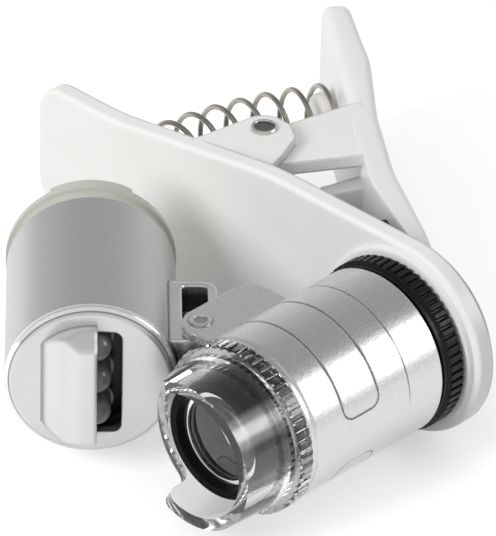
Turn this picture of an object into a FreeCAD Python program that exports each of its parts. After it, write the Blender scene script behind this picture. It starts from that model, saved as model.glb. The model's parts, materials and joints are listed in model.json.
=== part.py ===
import FreeCAD, Part
import math
import os
import re

import Sketcher

# Clip-on phone magnifier with a swivelling light, in millimetres.
# The lens axis is the Y axis, and the objective looks along -Y.
# The clip runs along X, from its handle at -X to its lens end at +X, and +Z is up.
# The origin is on the lens axis, in the back face of the front jaw, which lies on the phone.

DOCUMENT = FreeCAD.newDocument("clip_on_magnifier")
SHEET = DOCUMENT.addObject("Spreadsheet::Sheet", "Sizes")

SIZES = [
    # Front jaw: a flat plate, round at the lens end and narrower at the handle
    ("plate_thickness", 2.0, "front jaw plate"),
    ("lens_end_radius", 10.65, "round lens end of the plate"),
    ("handle_reach", 52.8, "lens axis to the handle's end"),
    ("shoulder_start", 19.5, "lens axis to where the full height ends"),
    ("shoulder_blend", 30.0, "blend radius of the shoulders"),
    ("handle_corner", 3.2, "corners of the front handle"),
    ("plate_edge_round", 0.5, "rounded rim of the plate"),
    ("collar_pad_radius", 10.3, "raised disc behind the focus ring"),
    ("collar_pad_height", 0.5, "raised disc behind the focus ring"),
    ("handle_straight", 10.8, "straight end of the front handle"),
    ("handle_step", 3.35, "front handle lower than the lens end"),
    ("jaw_step", 2.65, "back jaw lower than the lens end"),
    ("tab_inset", 1.65, "front tabs lower than the lens end"),
    ("pad_inset", 0.75, "rubber ring inside the plate's edge"),
    ("pad_margin", 0.2, "rubber ring round the eyepiece's flange"),
    # Jaw pivot: two tabs on each jaw and one pin through them
    ("pivot_x", -27.7, "pivot axis"),
    ("pivot_y", 6.34, "pivot axis"),
    ("pin_radius", 1.05, "pivot pin"),
    ("pin_clearance", 0.05, "running clearance in the back jaw"),
    ("pin_head_radius", 1.4, "flared ends of the pin"),
    ("pin_rim", 0.25, "raised rim of the pin's ends"),
    ("pin_head_height", 0.35, "flared ends of the pin"),
    ("front_tab_thickness", 1.0, "front tabs"),
    ("front_tab_radius", 2.6, "round tip of the front tabs"),
    ("front_tab_rear", -31.4, "tab's root on the handle side"),
    ("front_tab_front", -21.4, "tab's root on the lens side"),
    ("tab_root", 0.6, "depth of the tabs' roots in the jaws"),
    ("tab_gap", 0.1, "play between front and back tabs"),
    ("back_tab_thickness", 1.5, "back tabs"),
    ("back_tab_radius", 3.0, "round tip of the back tabs"),
    ("arm_heel", 4.5, "straight edge of the back tabs from the pivot"),
    ("arm_bend_x", 8.8, "bend of the back tabs from the pivot"),
    ("arm_bend_y", 3.8, "bend of the back tabs from the pivot"),
    ("arm_root_x", 10.6, "front root of the back tabs from the pivot"),
    ("arm_root_y", 6.6, "front root of the back tabs from the pivot"),
    ("arm_top_x", 2.0, "rear root of the back tabs from the pivot"),
    ("arm_top_y", 12.4, "rear root of the back tabs from the pivot"),
    ("arm_neck_y", 4.1, "neck of the back tabs from the pivot"),
    # Back jaw: a bent plate on edge
    ("jaw_tip_x", 3.0, "back jaw's lens end"),
    ("jaw_tip_y", 2.1, "inner face at the lens end"),
    ("jaw_tip_thickness", 1.9, "back jaw at the lens end"),
    ("jaw_bend_x", -2.5, "inner bend near the lens end"),
    ("jaw_bend_y", 2.2, "inner bend near the lens end"),
    ("jaw_elbow_x", -14.0, "inner bend of the middle"),
    ("jaw_elbow_y", 7.9, "inner bend of the middle"),
    ("grip_tip_x", -44.5, "inner corner of the finger grip's end"),
    ("grip_tip_y", 32.77, "inner corner of the finger grip's end"),
    ("grip_back_x", -42.7, "outer corner of the finger grip's end"),
    ("grip_back_y", 34.87, "outer corner of the finger grip's end"),
    ("back_elbow_x", -14.0, "outer bend towards the lens end"),
    ("back_elbow_y", 11.6, "outer bend towards the lens end"),
    ("back_hump_x", -22.5, "outer bend of the middle"),
    ("back_hump_y", 18.25, "outer bend of the middle"),
    ("back_grip_x", -31.5, "outer bend towards the grip"),
    ("back_grip_y", 26.8, "outer bend towards the grip"),
    ("jaw_blend", 30.0, "radius of the back jaw's bends"),
    ("jaw_tip_corner", 7.4, "corners of the back jaw's lens end"),
    ("grip_corner", 3.4, "corners of the finger grip"),
    ("rib_thickness", 1.6, "rib between the back tabs"),
    ("rib_half_height", 4.0, "rib between the back tabs"),
    # Rubber pads
    ("front_pad_thickness", 0.7, "rubber ring on the front jaw"),
    ("back_pad_thickness", 1.0, "rubber pad of the back jaw"),
    ("back_pad_start", -10.4, "pad's end on the handle side"),
    ("back_pad_end", 2.4, "pad's end on the lens side"),
    ("back_pad_half_height", 6.25, "rubber pad of the back jaw"),
    ("back_pad_corner", 1.2, "corners of the rubber pad"),
    # Clip spring: a coil on a bent axis between two seats
    ("spring_seat_x", -41.2, "spring's seat on the front jaw"),
    ("spring_bend_radius", 46.0, "bend of the coil's axis"),
    ("spring_bend_angle", 31.8, "turn of the coil's axis from one seat to the other"),
    ("spring_radius", 3.45, "middle of the wire"),
    ("spring_wire", 0.5, "wire diameter"),
    ("spring_turns", 8.5, "turns"),
    ("spring_seat_radius", 2.7, "round seats inside the coil"),
    ("spring_seat_height", 2.3, "round seats inside the coil"),
    ("seat_sink", 1.8, "root of the back jaw's seat in the jaw"),
    ("spring_end_gap", 0.3, "middle of the end turns from the jaws"),
    # Barrel
    ("barrel_radius", 9.0, "silver barrel"),
    ("barrel_rear", 5.56, "rear edge from the phone face"),
    ("barrel_front", 23.85, "front edge from the phone face"),
    ("nose_front", 24.5, "front of the barrel's stepped end"),
    ("spout_front", 26.4, "front of the spout that carries the foot"),
    ("barrel_bore_rear", 7.0, "rear end of the guide bore from the phone face"),
    ("nose_step", 0.15, "barrel to its stepped end"),
    ("spout_step", 1.55, "barrel to its spout"),
    ("barrel_wall", 2.6, "barrel to its guide bore"),
    ("spigot_wall", 0.8, "rear spigot"),
    ("fixed_clearance", 0.03, "parts that are glued or pressed together"),
    ("line_width", 0.2, "lines scored into the barrel"),
    ("line_depth", 0.12, "lines scored into the barrel"),
    ("front_line", 19.75, "front line of the scored band"),
    ("rear_line", 14.7, "rear line of the scored band"),
    ("band_end_angle", 21.3, "lower end of the scored lines, degrees above +X"),
    ("band_sweep", 113.7, "length of the scored lines, degrees"),
    # Ears and light hinge
    ("ear_top", 5.2, "top of the upper ear"),
    ("ear_thickness", 1.1, "ears"),
    ("ear_corner", 1.4, "corners of the ears"),
    ("hinge_offset", 1.74, "light hinge from the barrel"),
    ("ear_root", 2.3, "depth of the ears' roots in the barrel"),
    ("ear_rear", 11.2, "rear edge of the ears from the phone face"),
    ("ear_rear_bend", 12.9, "rear bend of the ears from the phone face"),
    ("ear_front", 2.1, "front edge of the ears ahead of the hinge"),
    ("ear_side", 1.95, "side of the ears beyond the hinge"),
    ("ear_rear_bend_x", 0.5, "rear bend of the ears beyond the hinge"),
    ("ear_front_bend", 0.3, "front bend of the ears ahead of the hinge"),
    ("ear_front_bend_x", 0.7, "front bend of the ears beyond the hinge"),
    ("hinge_y", -20.37, "light hinge axis"),
    ("rivet_radius", 0.85, "rivet"),
    ("rivet_rim", 0.4, "raised rim of the rivet's ends"),
    ("rivet_head_radius", 1.15, "rolled ends of the rivet"),
    ("rivet_head_height", 0.2, "rolled ends of the rivet"),
    ("rivet_clearance", 0.05, "running clearance on the rivet"),
    # Focus ring
    ("focus_rear", 2.75, "focus ring's rear face from the phone face"),
    ("focus_front", 5.3, "focus ring's front face from the phone face"),
    ("focus_teeth_front", 4.7, "front end of its teeth"),
    ("focus_overhang", 0.3, "focus ring's teeth beyond the barrel"),
    ("focus_band_step", 0.1, "smooth band inside the barrel's radius"),
    ("focus_clearance", 0.08, "focus ring on the spigot"),
    ("focus_tooth_depth", 0.38, "teeth"),
    ("focus_teeth", 60, "teeth"),
    # Lenses
    ("eyepiece_clearance", 0.05, "eyepiece ring in the spigot"),
    ("eyepiece_width", 1.35, "eyepiece ring round its hole"),
    ("eyepiece_lens_inset", 0.25, "eyepiece lens inside the eyepiece ring's radius"),
    ("eyepiece_overhang", 1.4, "flange beyond the spigot"),
    ("tube_clearance", 0.08, "lens tube in its guide bore"),
    ("tube_wall", 0.92, "lens tube"),
    ("mouth_wall", 1.26, "lens tube at its mouth"),
    ("retainer_width", 0.56, "metal ring in front of the lens"),
    ("lens_clearance", 0.06, "lenses in their seats"),
    ("lens_seat_gap", 0.12, "lens behind its retainer"),
    ("eyepiece_flange", 0.45, "flange on the plate"),
    ("eyepiece_depth", 1.3, "eyepiece ring in the spigot"),
    ("eyepiece_lens_edge", 1.2, "eyepiece lens at its rim"),
    ("lens_rise", 0.5, "rise of each curved lens face"),
    ("tube_rear", 9.0, "rear end of the lens tube"),
    ("tube_front", 29.3, "front end of the lens tube"),
    ("tube_mouth_depth", 0.8, "depth of that opening"),
    ("thread_first", 25.7, "first thread groove from the phone face"),
    ("thread_pitch", 0.5, "thread grooves"),
    ("thread_depth", 0.16, "thread grooves"),
    ("thread_turns", 5, "thread grooves"),
    ("retainer_thickness", 0.35, "metal ring in front of the lens"),
    ("lens_edge", 1.2, "objective lens at its rim"),
    ("rear_lens_place", 18.0, "front rim of the second lens from the phone face"),
    # Clear foot
    ("foot_rear", 24.6, "rear face of the knurled collar"),
    ("foot_collar_front", 26.35, "front face of the knurled collar"),
    ("foot_bore_front", 26.6, "front end of that bore"),
    ("collar_overhang", 0.15, "foot's collar beyond the barrel"),
    ("foot_clearance", 0.05, "foot on the spout"),
    ("foot_root_wall", 0.85, "clear tube's root beyond the spout"),
    ("foot_tip_wall", 0.55, "clear tube's rim beyond the spout"),
    ("foot_lip", 0.7, "clear tube inside the spout's radius"),
    ("foot_tooth_depth", 0.38, "collar teeth"),
    ("foot_teeth", 50, "collar teeth"),
    ("foot_front", 32.8, "front rim"),
    ("notch_floor", 29.0, "floor of the light's notch"),
    ("notch_half_angle", 61.0, "half width of the notch, degrees"),
    ("notch_blend", 1.4, "rounded lower side of the notch"),
    # Light, in its own frame: X is across, Y is backwards from its face
    ("light_turn", 45.2, "light's axis from the lens axis, degrees"),
    ("light_radius", 8.7, "light housing"),
    ("light_wall", 0.85, "light housing"),
    ("rim_chamfer", 0.75, "chamfer round the light's face"),
    ("cap_spigot_wall", 0.75, "front cap's spigot"),
    ("light_front", 0.5, "housing's front edge"),
    ("light_rear", 20.55, "housing's rear edge"),
    ("rim_front", 0.6, "face ahead of the front edge"),
    ("face_thickness", 1.0, "front cap's face"),
    ("cap_spigot_rear", 1.8, "front cap's spigot"),
    ("slot_left", -2.2, "lamp slot"),
    ("slot_right", 3.1, "lamp slot"),
    ("slot_half_height", 6.0, "lamp slot"),
    ("slot_corner", 1.0, "lamp slot"),
    ("slider_left", -5.05, "slider's low edge"),
    ("slider_crest", -1.2, "start of the slider's crest"),
    ("slider_right", 0.6, "slider's open edge"),
    ("slider_height", 3.2, "crest above the face"),
    ("slider_flat", 5.5, "half height of the crest"),
    ("slider_bevel", 2.4, "height of the bevelled ends"),
    ("slider_wall", 0.5, "slider's wall"),
    ("slider_shift", 0.78, "wall measured along the face"),
    ("slider_inset", 1.9, "slider's round base inside the light's radius"),
    ("slider_soft", 0.5, "rounded ridges of the slider"),
    ("hollow_start", -2.75, "low side of the hollow's wide part"),
    ("hollow_half_height", 5.95, "wide part of the slider's hollow"),
    ("hollow_step", 1.6, "height of the hollow's wide part"),
    ("slider_gap", 0.04, "slider from the face"),
    ("lamp_radius", 1.5, "lamp"),
    ("lamp_x", 0.55, "lamps from the light's axis"),
    ("lamp_top_z", 4.1, "upper lamp"),
    ("lamp_middle_z", 0.3, "middle lamp"),
    ("lamp_low_z", -3.5, "lower lamp"),
    ("lamp_centre", 0.3, "centre of the lamp's dome ahead of the front edge"),
    ("lamp_rear", 2.6, "lamp's rear face"),
    ("lamp_flange", 0.25, "lamp's flange beyond its body"),
    ("lamp_flange_height", 0.7, "lamp's flange"),
    ("board_front", 3.35, "circuit board's front"),
    ("board_inset", 0.85, "circuit board in the housing"),
    ("holder_clearance", 0.1, "cell holder and battery cap in the housing"),
    ("cap_neck_step", 0.3, "battery cap's neck inside the light's radius"),
    ("cap_rim_overhang", 0.1, "battery cap's rim beyond the light's radius"),
    ("cap_wall", 1.15, "battery cap's spigot"),
    ("board_thickness", 0.8, "circuit board"),
    ("holder_front", 4.6, "cell holder's front"),
    ("holder_rear", 16.2, "cell holder's rear"),
    ("holder_floor", 1.0, "cell holder's floor"),
    ("cell_bore", 5.95, "cell holder's bore"),
    ("cell_radius", 5.8, "button cells"),
    ("cell_thickness", 3.05, "button cells"),
    ("cell_gap", 0.03, "between the cells"),
    ("cell_rim", 0.45, "step at a cell's minus side"),
    ("contact_radius", 4.6, "battery contact's base"),
    ("contact_tip", 1.6, "battery contact's tip"),
    ("contact_wall", 0.3, "battery contact"),
    ("cap_neck_rear", 22.1, "battery cap's neck"),
    ("cap_neck_gap", 0.06, "neck from the housing"),
    ("cap_rim_rear", 23.2, "battery cap's rim"),
    ("cap_spigot_front", 17.6, "battery cap's spigot"),
    ("cap_floor", 21.9, "inside face of the battery cap"),
    ("cap_bar_height", 0.9, "grip bar"),
    ("cap_bar_half_width", 4.2, "grip bar"),
    # Chrome bracket between light and ears
    ("bracket_top", 4.0, "half height of the bracket"),
    ("bracket_front", 1.0, "bracket's front end"),
    ("bracket_shoulder", 3.9, "front end of its outer side"),
    ("bracket_rear", 12.0, "bracket's rear end"),
    ("bracket_corner", 1.5, "bracket's rear corner"),
    ("knuckle_radius", 1.42, "round knuckle"),
    ("knuckle_offset", 2.24, "hinge from the light's side"),
    ("bracket_sink", 2.2, "bracket's root inside the light's radius"),
    ("bracket_reach", 1.86, "bracket's outer side beyond the hinge"),
    ("recess_inner_wall", 0.45, "wall between light and recess"),
    ("recess_outer_wall", 1.0, "wall outside the recess"),
    ("recess_corner", 0.6, "corners of the recess"),
    ("knuckle_y", 2.76, "hinge axis in the light's frame"),
    ("recess_front", 4.7, "recess in the bracket's top and bottom"),
    ("recess_rear", 11.2, "recess in the bracket's top and bottom"),
    ("recess_depth", 3.3, "recess in the bracket's top and bottom"),
]
NAMES = {name for name, _, _ in SIZES}

# Sizes that follow others, so that the pieces keep together when one of them changes
RELATIONS = {
    "handle_half_height": "lens_end_radius - handle_step",
    "shoulder_finish": "handle_reach - handle_straight",
    "front_tab_top": "lens_end_radius - tab_inset",
    "jaw_half_height": "lens_end_radius - jaw_step",
    "grip_half_height": "handle_half_height",
    "back_pad_start_y": "jaw_bend_y + (jaw_elbow_y - jaw_bend_y)"
                        " * (jaw_bend_x - back_pad_start) / (jaw_bend_x - jaw_elbow_x)",
    "front_pad_inner": "eyepiece_flange_radius + pad_margin",
    "front_pad_outer": "lens_end_radius - pad_inset",
    "spring_end_x": "spring_seat_x + spring_bend_radius * (1 - cos(spring_bend_angle * 1 deg))",
    "spring_end_y": "spring_bend_radius * sin(spring_bend_angle * 1 deg)",
    "nose_radius": "barrel_radius - nose_step",
    "spout_radius": "barrel_radius - spout_step",
    "barrel_bore": "barrel_radius - barrel_wall",
    "spigot_radius": "barrel_bore",
    "spigot_bore": "spigot_radius - spigot_wall",
    "hinge_x": "-1 * (barrel_radius + hinge_offset)",
    "focus_radius": "barrel_radius + focus_overhang",
    "focus_band_radius": "barrel_radius - focus_band_step",
    "focus_bore": "spigot_radius + focus_clearance",
    "eyepiece_radius": "spigot_bore - eyepiece_clearance",
    "eyepiece_bore": "eyepiece_radius - eyepiece_width",
    "eyepiece_flange_radius": "spigot_radius + eyepiece_overhang",
    "eyepiece_lens_radius": "eyepiece_radius - eyepiece_lens_inset",
    "tube_radius": "barrel_bore - tube_clearance",
    "tube_bore": "tube_radius - tube_wall",
    "tube_mouth_radius": "tube_radius - mouth_wall",
    "retainer_opening": "tube_mouth_radius - retainer_width",
    "lens_radius": "tube_mouth_radius - lens_clearance",
    "rear_lens_radius": "tube_bore - lens_clearance",
    "foot_collar_radius": "barrel_radius + collar_overhang",
    "foot_bore": "spout_radius + foot_clearance",
    "foot_root_radius": "spout_radius + foot_root_wall",
    "foot_tip_radius": "spout_radius + foot_tip_wall",
    "foot_inner": "spout_radius - foot_lip",
    "light_bore": "light_radius - light_wall",
    "rim_face_radius": "light_radius - rim_chamfer",
    "cap_spigot_bore": "light_bore - cap_spigot_wall",
    "slider_radius": "light_radius - slider_inset",
    "board_radius": "light_bore - board_inset",
    "holder_radius": "light_bore - holder_clearance",
    "cap_neck_radius": "light_radius - cap_neck_step",
    "cap_rim_radius": "light_radius + cap_rim_overhang",
    "cap_spigot": "light_bore - holder_clearance",
    "cap_spigot_inner": "cap_spigot - cap_wall",
    "knuckle_x": "light_radius + knuckle_offset",
    "bracket_root": "light_radius - bracket_sink",
    "bracket_side": "knuckle_x + bracket_reach",
    "recess_left": "light_radius + recess_inner_wall",
    "recess_right": "bracket_side - recess_outer_wall",
    "light_x": "hinge_x - knuckle_x * cos(light_turn * 1 deg) + knuckle_y * sin(light_turn * 1 deg)",
    "light_y": "hinge_y - knuckle_x * sin(light_turn * 1 deg) - knuckle_y * cos(light_turn * 1 deg)",
}
WORD = re.compile(r"[a-z][a-z_]+")
for row, (name, size, meaning) in enumerate(SIZES, start=1):
    SHEET.set(f"A{row}", meaning)
    SHEET.set(f"B{row}", str(size))
    SHEET.setAlias(f"B{row}", name)
DOCUMENT.recompute()


def bound(text):
    """An expression on the sheet, from one that gives only the names of sizes."""
    text = str(text)
    while any(word in RELATIONS for word in WORD.findall(text)):
        text = WORD.sub(lambda word: f"({RELATIONS[word[0]]})" if word[0] in RELATIONS else word[0], text)
    return WORD.sub(lambda word: "Sizes." + word[0] if word[0] in NAMES else word[0], text)


def number(text):
    """The present value of such an expression."""
    result = SHEET.evalExpression(bound(text))
    return float(getattr(result, "Value", result))


def new_body(name):
    body = DOCUMENT.addObject("PartDesign::Body", name)
    body.Label = name
    return body


def origin_plane(body, role):
    return next(plane for plane in body.Origin.OriginFeatures if plane.Role == role)


def new_sketch(body, role, name, offset=None):
    """A sketch on an origin plane, moved along the plane's normal by an expression."""
    sketch = body.newObject("Sketcher::SketchObject", name)
    sketch.AttachmentSupport = [(origin_plane(body, role), "")]
    sketch.MapMode = "FlatFace"
    if offset is not None:
        sketch.setExpression("AttachmentOffset.Base.z", bound(offset))
    return sketch


def hold_point(sketch, curve, place, x, y):
    """Tie a point of a curve to two expressions."""
    for kind, text in (("DistanceX", x), ("DistanceY", y)):
        index = sketch.addConstraint(Sketcher.Constraint(kind, -1, 1, curve, place, number(text)))
        sketch.setExpression(f"Constraints[{index}]", bound(text))


def draw_polygon(sketch, corners):
    """A closed outline whose corners are pairs of expressions."""
    points = [FreeCAD.Vector(number(x), number(y), 0) for x, y in corners]
    first = len(sketch.Geometry)
    for here, there in zip(points, points[1:] + points[:1]):
        sketch.addGeometry(Part.LineSegment(here, there), False)
    for index, (x, y) in enumerate(corners):
        before = first + (index - 1) % len(corners)
        sketch.addConstraint(Sketcher.Constraint("Coincident", before, 2, first + index, 1))
        hold_point(sketch, first + index, 1, x, y)


def draw_circle(sketch, x, y, radius):
    centre = FreeCAD.Vector(number(x), number(y), 0)
    circle = Part.Circle(centre, FreeCAD.Vector(0, 0, 1), number(radius))
    curve = sketch.addGeometry(circle, False)
    hold_point(sketch, curve, 3, x, y)
    index = sketch.addConstraint(Sketcher.Constraint("Radius", curve, number(radius)))
    sketch.setExpression(f"Constraints[{index}]", bound(radius))


def extrude(body, kind, name, sketch, length, reversed_way=False, midplane=False):
    """A Pad or Pocket with a length tied to the sheet, or through everything."""
    feature = body.newObject("PartDesign::" + kind, name)
    feature.Profile = sketch
    feature.Reversed = reversed_way
    if midplane:
        feature.SideType = "Symmetric"
    if length is None:
        feature.Type = "ThroughAll"
    else:
        feature.setExpression("Length", bound(length))
    DOCUMENT.recompute()
    return feature


def pad(body, name, sketch, length, reversed_way=False, midplane=False):
    return extrude(body, "Pad", name, sketch, length, reversed_way, midplane)


def pocket(body, name, sketch, length, reversed_way=False, midplane=False):
    """A Pocket that has to take something away."""
    before = body.Shape.Volume
    feature = extrude(body, "Pocket", name, sketch, length, reversed_way, midplane)
    if body.Shape.Volume > before - 1e-6:
        raise RuntimeError(name + " cuts nothing")
    return feature


def turn(body, name, sketch, kind="Revolution"):
    """A full turn about the sketch's vertical axis."""
    feature = body.newObject("PartDesign::" + kind, name)
    feature.Profile = sketch
    feature.ReferenceAxis = (sketch, ["V_Axis"])
    feature.Angle = 360
    DOCUMENT.recompute()
    return feature


def turned_body(name, profile):
    """A body turned about the Y axis, from corners given as (radius, place on the axis)."""
    body = new_body(name)
    sketch = new_sketch(body, "XY_Plane", name + "_profile")
    draw_polygon(sketch, profile)
    turn(body, name + "_turned", sketch)
    return body


def edges_where(body, test):
    """Names of the edges of the body's shape that pass a test."""
    return [f"Edge{i}" for i, edge in enumerate(body.Shape.Edges, start=1) if test(edge)]


def dress(body, kind, name, test, size):
    """A Fillet or Chamfer on the edges that pass a test."""
    base = body.Tip
    names = edges_where(body, test)
    feature = body.newObject("PartDesign::" + kind, name)
    feature.Base = (base, names)
    feature.setExpression("Radius" if kind == "Fillet" else "Size", bound(size))
    DOCUMENT.recompute()
    return feature


def runs_along(edge, axis, tolerance=1e-4):
    """Whether an edge is a straight line along an axis."""
    if not isinstance(edge.Curve, Part.Line):
        return False
    return abs(abs(edge.tangentAt(edge.FirstParameter).dot(axis)) - 1) < tolerance


def passes(edge, x=None, y=None, z=None, tolerance=0.02):
    """Whether an edge's middle has the given coordinates."""
    middle = edge.valueAt((edge.FirstParameter + edge.LastParameter) / 2)
    wanted = ((x, middle.x), (y, middle.y), (z, middle.z))
    return all(value is None or abs(value - place) < tolerance for value, place in wanted)


def lies_in(edge, axis, place, tolerance=0.01):
    """Whether an edge lies in a plane across an axis."""
    box = edge.BoundBox
    low, high = {"x": (box.XMin, box.XMax), "y": (box.YMin, box.YMax), "z": (box.ZMin, box.ZMax)}[axis]
    return abs(low - place) < tolerance and abs(high - place) < tolerance


X_AXIS = FreeCAD.Vector(1, 0, 0)
Y_AXIS = FreeCAD.Vector(0, 1, 0)
Z_AXIS = FreeCAD.Vector(0, 0, 1)


def round_teeth(body, name, outer, depth, count, first, last):
    """Cut even V grooves along Y into a round rim, as a polar pattern of one groove."""
    sketch = new_sketch(body, "XZ_Plane", name + "_groove", first)
    half = f"{outer} * sin(90 deg / {count}) * 1.15"
    draw_polygon(sketch, [
        (f"-1 * ({half})", f"{outer} + 0.1"),
        (half, f"{outer} + 0.1"),
        (f"({half}) * 0.45", f"{outer} - {depth}"),
        (f"({half}) * -0.45", f"{outer} - {depth}"),
    ])
    groove = pocket(body, name + "_cut", sketch, f"{last} - {first}", reversed_way=True)
    pattern = body.newObject("PartDesign::PolarPattern", name + "_round")
    pattern.Originals = [groove]
    pattern.Axis = (next(axis for axis in body.Origin.OriginFeatures if axis.Role == "Y_Axis"), [""])
    pattern.Angle = 360
    pattern.setExpression("Occurrences", bound(count))
    body.Tip = pattern
    DOCUMENT.recompute()
    return pattern


def slab(body, name, corners, low, height):
    """A plate across Z, drawn in plan."""
    sketch = new_sketch(body, "XY_Plane", name + "_outline", low)
    draw_polygon(sketch, corners)
    return pad(body, name, sketch, height)


def disc(body, name, x, y, radius, low, height):
    sketch = new_sketch(body, "XY_Plane", name + "_circle", low)
    draw_circle(sketch, x, y, radius)
    return pad(body, name, sketch, height)


def drill(body, name, x, y, radius):
    """A hole right through along Z."""
    sketch = new_sketch(body, "XY_Plane", name + "_circle")
    draw_circle(sketch, x, y, radius)
    return pocket(body, name, sketch, None, midplane=True)


def round_upright(body, name, places, radius):
    """Fillet the upright edges that stand at the given places in plan."""
    spots = [(number(x), number(y)) for x, y in places]

    def chosen(edge):
        return runs_along(edge, Z_AXIS) and any(passes(edge, x=x, y=y) for x, y in spots)

    return dress(body, "Fillet", name, chosen, radius)


def build_front_jaw():
    body = new_body("front_jaw")
    plate = new_sketch(body, "XZ_Plane", "plate_outline")
    upper = [
        ("-1 * shoulder_start", "lens_end_radius"),
        ("-1 * shoulder_finish", "handle_half_height"),
        ("-1 * handle_reach", "handle_half_height"),
    ]
    lower = [(x, f"-1 * ({z})") for x, z in reversed(upper)]
    draw_polygon(plate, [("0", "lens_end_radius")] + upper + lower + [("0", "-1 * lens_end_radius")])
    pad(body, "plate", plate, "plate_thickness")
    lens_end = new_sketch(body, "XZ_Plane", "lens_end_circle")
    draw_circle(lens_end, "0", "0", "lens_end_radius")
    pad(body, "lens_end", lens_end, "plate_thickness")
    for label, x, z, radius in (
        ("shoulder_start_blend", "shoulder_start", "lens_end_radius", "shoulder_blend"),
        ("shoulder_finish_blend", "shoulder_finish", "handle_half_height", "shoulder_blend"),
        ("handle_corners", "handle_reach", "handle_half_height", "handle_corner"),
    ):
        place_x, place_z = -number(x), number(z)

        def corner(edge):
            at_corner = passes(edge, x=place_x, z=place_z) or passes(edge, x=place_x, z=-place_z)
            return runs_along(edge, Y_AXIS) and at_corner

        dress(body, "Fillet", label, corner, radius)
    front = -number("plate_thickness")
    dress(body, "Fillet", "plate_rim", lambda edge: lies_in(edge, "y", front), "plate_edge_round")
    raised = new_sketch(body, "XZ_Plane", "raised_disc_circle", "plate_thickness - 0.2")
    draw_circle(raised, "0", "0", "collar_pad_radius - 0.5")
    pad(body, "raised_disc", raised, "collar_pad_height + 0.2")
    for side, low in (("upper", "front_tab_top - front_tab_thickness"), ("lower", "-1 * front_tab_top")):
        slab(body, side + "_tab", [
            ("front_tab_rear", "-1 * tab_root"),
            ("front_tab_front", "-1 * tab_root"),
            ("pivot_x + front_tab_radius * 1.9", "pivot_y - front_tab_radius * 0.9"),
            ("pivot_x + front_tab_radius * 1.35", "pivot_y + front_tab_radius * 0.45"),
            ("pivot_x + front_tab_radius * 0.5", "pivot_y + front_tab_radius"),
            ("pivot_x - front_tab_radius * 0.2", "pivot_y + front_tab_radius * 0.95"),
            ("pivot_x - front_tab_radius", "pivot_y"),
        ], low, "front_tab_thickness")
        disc(body, side + "_tab_tip", "pivot_x", "pivot_y", "front_tab_radius", low, "front_tab_thickness")
    tab_bends = [
        ("pivot_x + front_tab_radius * 1.35", "pivot_y + front_tab_radius * 0.45"),
        ("pivot_x + front_tab_radius * 1.9", "pivot_y - front_tab_radius * 0.9"),
    ]
    round_upright(body, "tab_bends", tab_bends, "front_tab_radius * 0.5")
    seat = new_sketch(body, "XZ_Plane", "spring_seat_circle", "-1 * spring_seat_height")
    draw_circle(seat, "spring_seat_x", "0", "spring_seat_radius")
    pad(body, "spring_seat", seat, "spring_seat_height + plate_thickness * 0.5")
    seat_top = number("spring_seat_height")
    dress(body, "Chamfer", "seat_edge", lambda edge: lies_in(edge, "y", seat_top), "line_width * 2")
    bore = new_sketch(body, "XZ_Plane", "sleeve_bore_circle", "-1")
    draw_circle(bore, "0", "0", "spigot_radius + fixed_clearance")
    pocket(body, "sleeve_bore", bore, "plate_thickness + collar_pad_height + 2", reversed_way=True)
    drill(body, "pin_hole", "pivot_x", "pivot_y", "pin_radius + fixed_clearance")
    return body


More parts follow.
